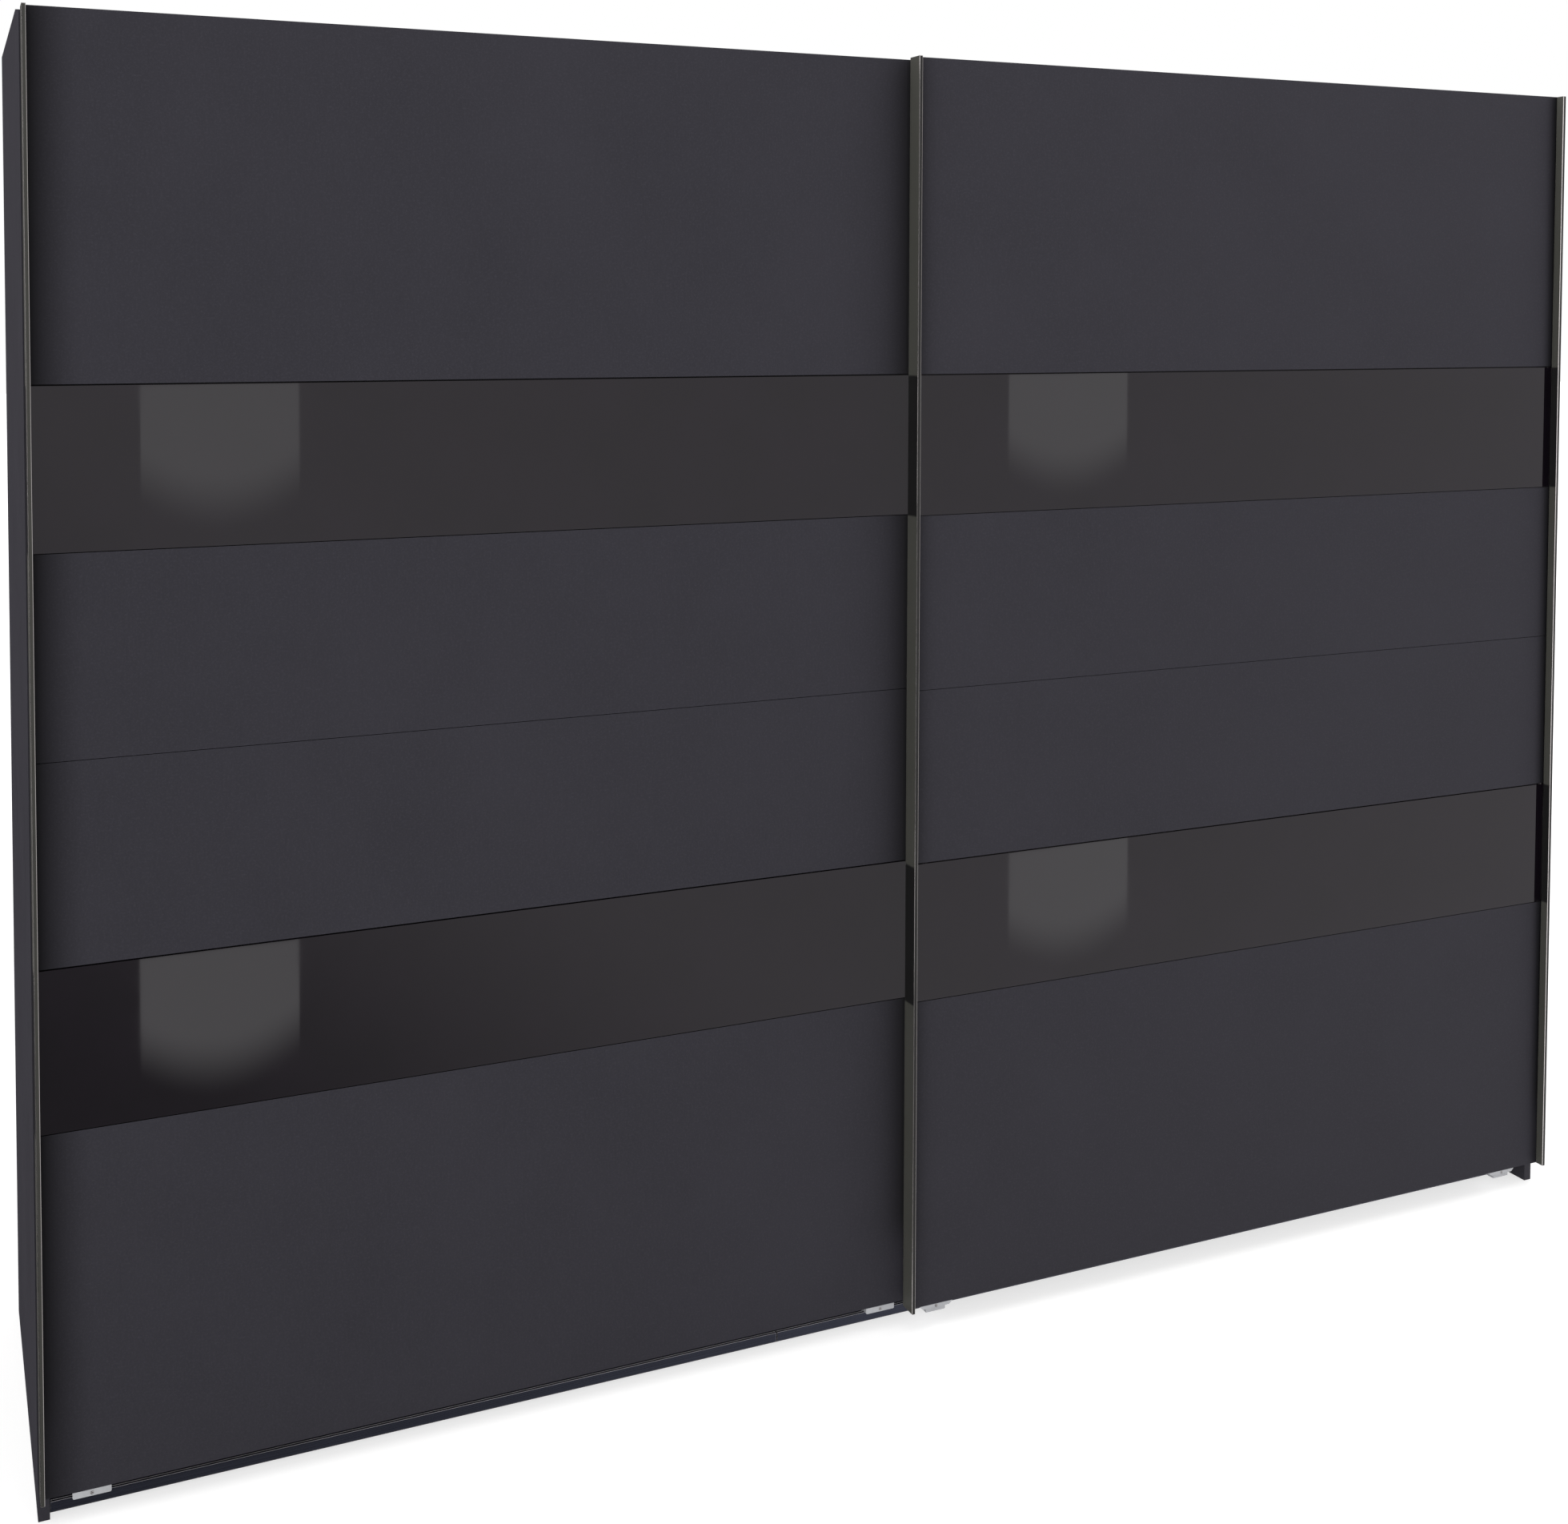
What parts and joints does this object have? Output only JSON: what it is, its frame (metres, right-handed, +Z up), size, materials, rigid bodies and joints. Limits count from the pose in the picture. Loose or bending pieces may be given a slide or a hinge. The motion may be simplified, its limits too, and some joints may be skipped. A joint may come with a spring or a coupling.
{
  "type": "sliding door wardrobe",
  "caption": "Wide two-bay wardrobe in matt graphite with hanging sliding doors, black glass bands and full-height fin handles; doors slide on rollers and floor guides.",
  "frame": {"origin": "on the floor under the middle of the whole wardrobe, handles included", "axes": "+X to the right along the wardrobe seen from the front, +Y from the front to the back, +Z up"},
  "size_m": [2.7, 0.62, 2.058],
  "materials": {
    "graphite_decor": "matt graphite melamine on chipboard",
    "black_glass": "black back-painted glass, polished",
    "dark_aluminium": "graphite anodised extrusion, satin",
    "fibreboard": "dark coated fibreboard",
    "zinc_steel": "zinc-plated pressed steel",
    "chrome_tube": "chrome-plated steel tube",
    "grey_plastic": "light grey moulded plastic",
    "black_nylon": "black nylon"
  },
  "bodies": {
    "carcass": {"side_panel_left": "graphite_decor", "side_panel_right": "graphite_decor", "centre_partition": "graphite_decor", "top_panel_left": "graphite_decor", "bottom_panel_left": "graphite_decor", "plinth_front_left": "graphite_decor", "hat_shelf_left": "graphite_decor", "clothes_rail_left": "chrome_tube", "back_joint_strip_left": "black_nylon", "rail_holder_left_outer": "black_nylon", "rail_holder_left_inner": "black_nylon", "track_stop_rear_left": "black_nylon", "track_stop_front_left": "black_nylon", "guide_rail_left": "dark_aluminium", "top_panel_right": "graphite_decor", "bottom_panel_right": "graphite_decor", "plinth_front_right": "graphite_decor", "hat_shelf_right": "graphite_decor", "clothes_rail_right": "chrome_tube", "back_joint_strip_right": "black_nylon", "rail_holder_right_outer": "black_nylon", "rail_holder_right_inner": "black_nylon", "track_stop_rear_right": "black_nylon", "track_stop_front_right": "black_nylon", "guide_rail_right": "dark_aluminium", "plinth_rear": "graphite_decor", "back_panel_1": "fibreboard", "back_panel_2": "fibreboard", "back_panel_3": "fibreboard", "back_panel_4": "fibreboard", "top_track": "dark_aluminium"},
    "left_door": {"left_door_leaf_upper": "graphite_decor", "left_door_glass_upper": "black_glass", "left_door_leaf_lower": "graphite_decor", "left_door_glass_lower": "black_glass", "left_door_handle_rail": "dark_aluminium", "left_door_edge_strip": "dark_aluminium", "left_door_hanger_left": "zinc_steel", "left_door_axle_left": "zinc_steel", "left_door_guide_left": "grey_plastic", "left_door_hanger_right": "zinc_steel", "left_door_axle_right": "zinc_steel", "left_door_guide_right": "grey_plastic"},
    "right_door": {"right_door_leaf_upper": "graphite_decor", "right_door_glass_upper": "black_glass", "right_door_leaf_lower": "graphite_decor", "right_door_glass_lower": "black_glass", "right_door_handle_rail_left": "dark_aluminium", "right_door_handle_rail_right": "dark_aluminium", "right_door_hanger_left": "zinc_steel", "right_door_axle_left": "zinc_steel", "right_door_guide_left": "grey_plastic", "right_door_hanger_right": "zinc_steel", "right_door_axle_right": "zinc_steel", "right_door_guide_right": "grey_plastic"},
    "left_door_wheel_left": {"left_door_wheel_left": "black_nylon"},
    "left_door_wheel_right": {"left_door_wheel_right": "black_nylon"},
    "right_door_wheel_left": {"right_door_wheel_left": "black_nylon"},
    "right_door_wheel_right": {"right_door_wheel_right": "black_nylon"}
  },
  "joints": [
    {"name": "left_door_slide", "type": "slide", "parent": "carcass", "child": "left_door", "axis": [1, 0, 0], "range_m": [0, 1.31]},
    {"name": "right_door_slide", "type": "slide", "parent": "carcass", "child": "right_door", "axis": [1, 0, 0], "range_m": [-1.31, 0]},
    {"name": "left_door_wheel_left_spin", "type": "hinge", "parent": "left_door", "child": "left_door_wheel_left", "pos_m": [-1.22, -0.232, 2.0213], "axis": [0, 1, 0], "continuous": true},
    {"name": "left_door_wheel_right_spin", "type": "hinge", "parent": "left_door", "child": "left_door_wheel_right", "pos_m": [-0.11, -0.232, 2.0213], "axis": [0, 1, 0], "continuous": true},
    {"name": "right_door_wheel_left_spin", "type": "hinge", "parent": "right_door", "child": "right_door_wheel_left", "pos_m": [0.11, -0.181, 2.0213], "axis": [0, 1, 0], "continuous": true},
    {"name": "right_door_wheel_right_spin", "type": "hinge", "parent": "right_door", "child": "right_door_wheel_right", "pos_m": [1.22, -0.181, 2.0213], "axis": [0, 1, 0], "continuous": true}
  ],
  "couplings": [
    {"joint": "left_door_wheel_left_spin", "follows": "left_door_slide", "rad_per_m": 111.11},
    {"joint": "left_door_wheel_right_spin", "follows": "left_door_slide", "rad_per_m": 111.11},
    {"joint": "right_door_wheel_left_spin", "follows": "right_door_slide", "rad_per_m": 111.11},
    {"joint": "right_door_wheel_right_spin", "follows": "right_door_slide", "rad_per_m": 111.11}
  ]
}
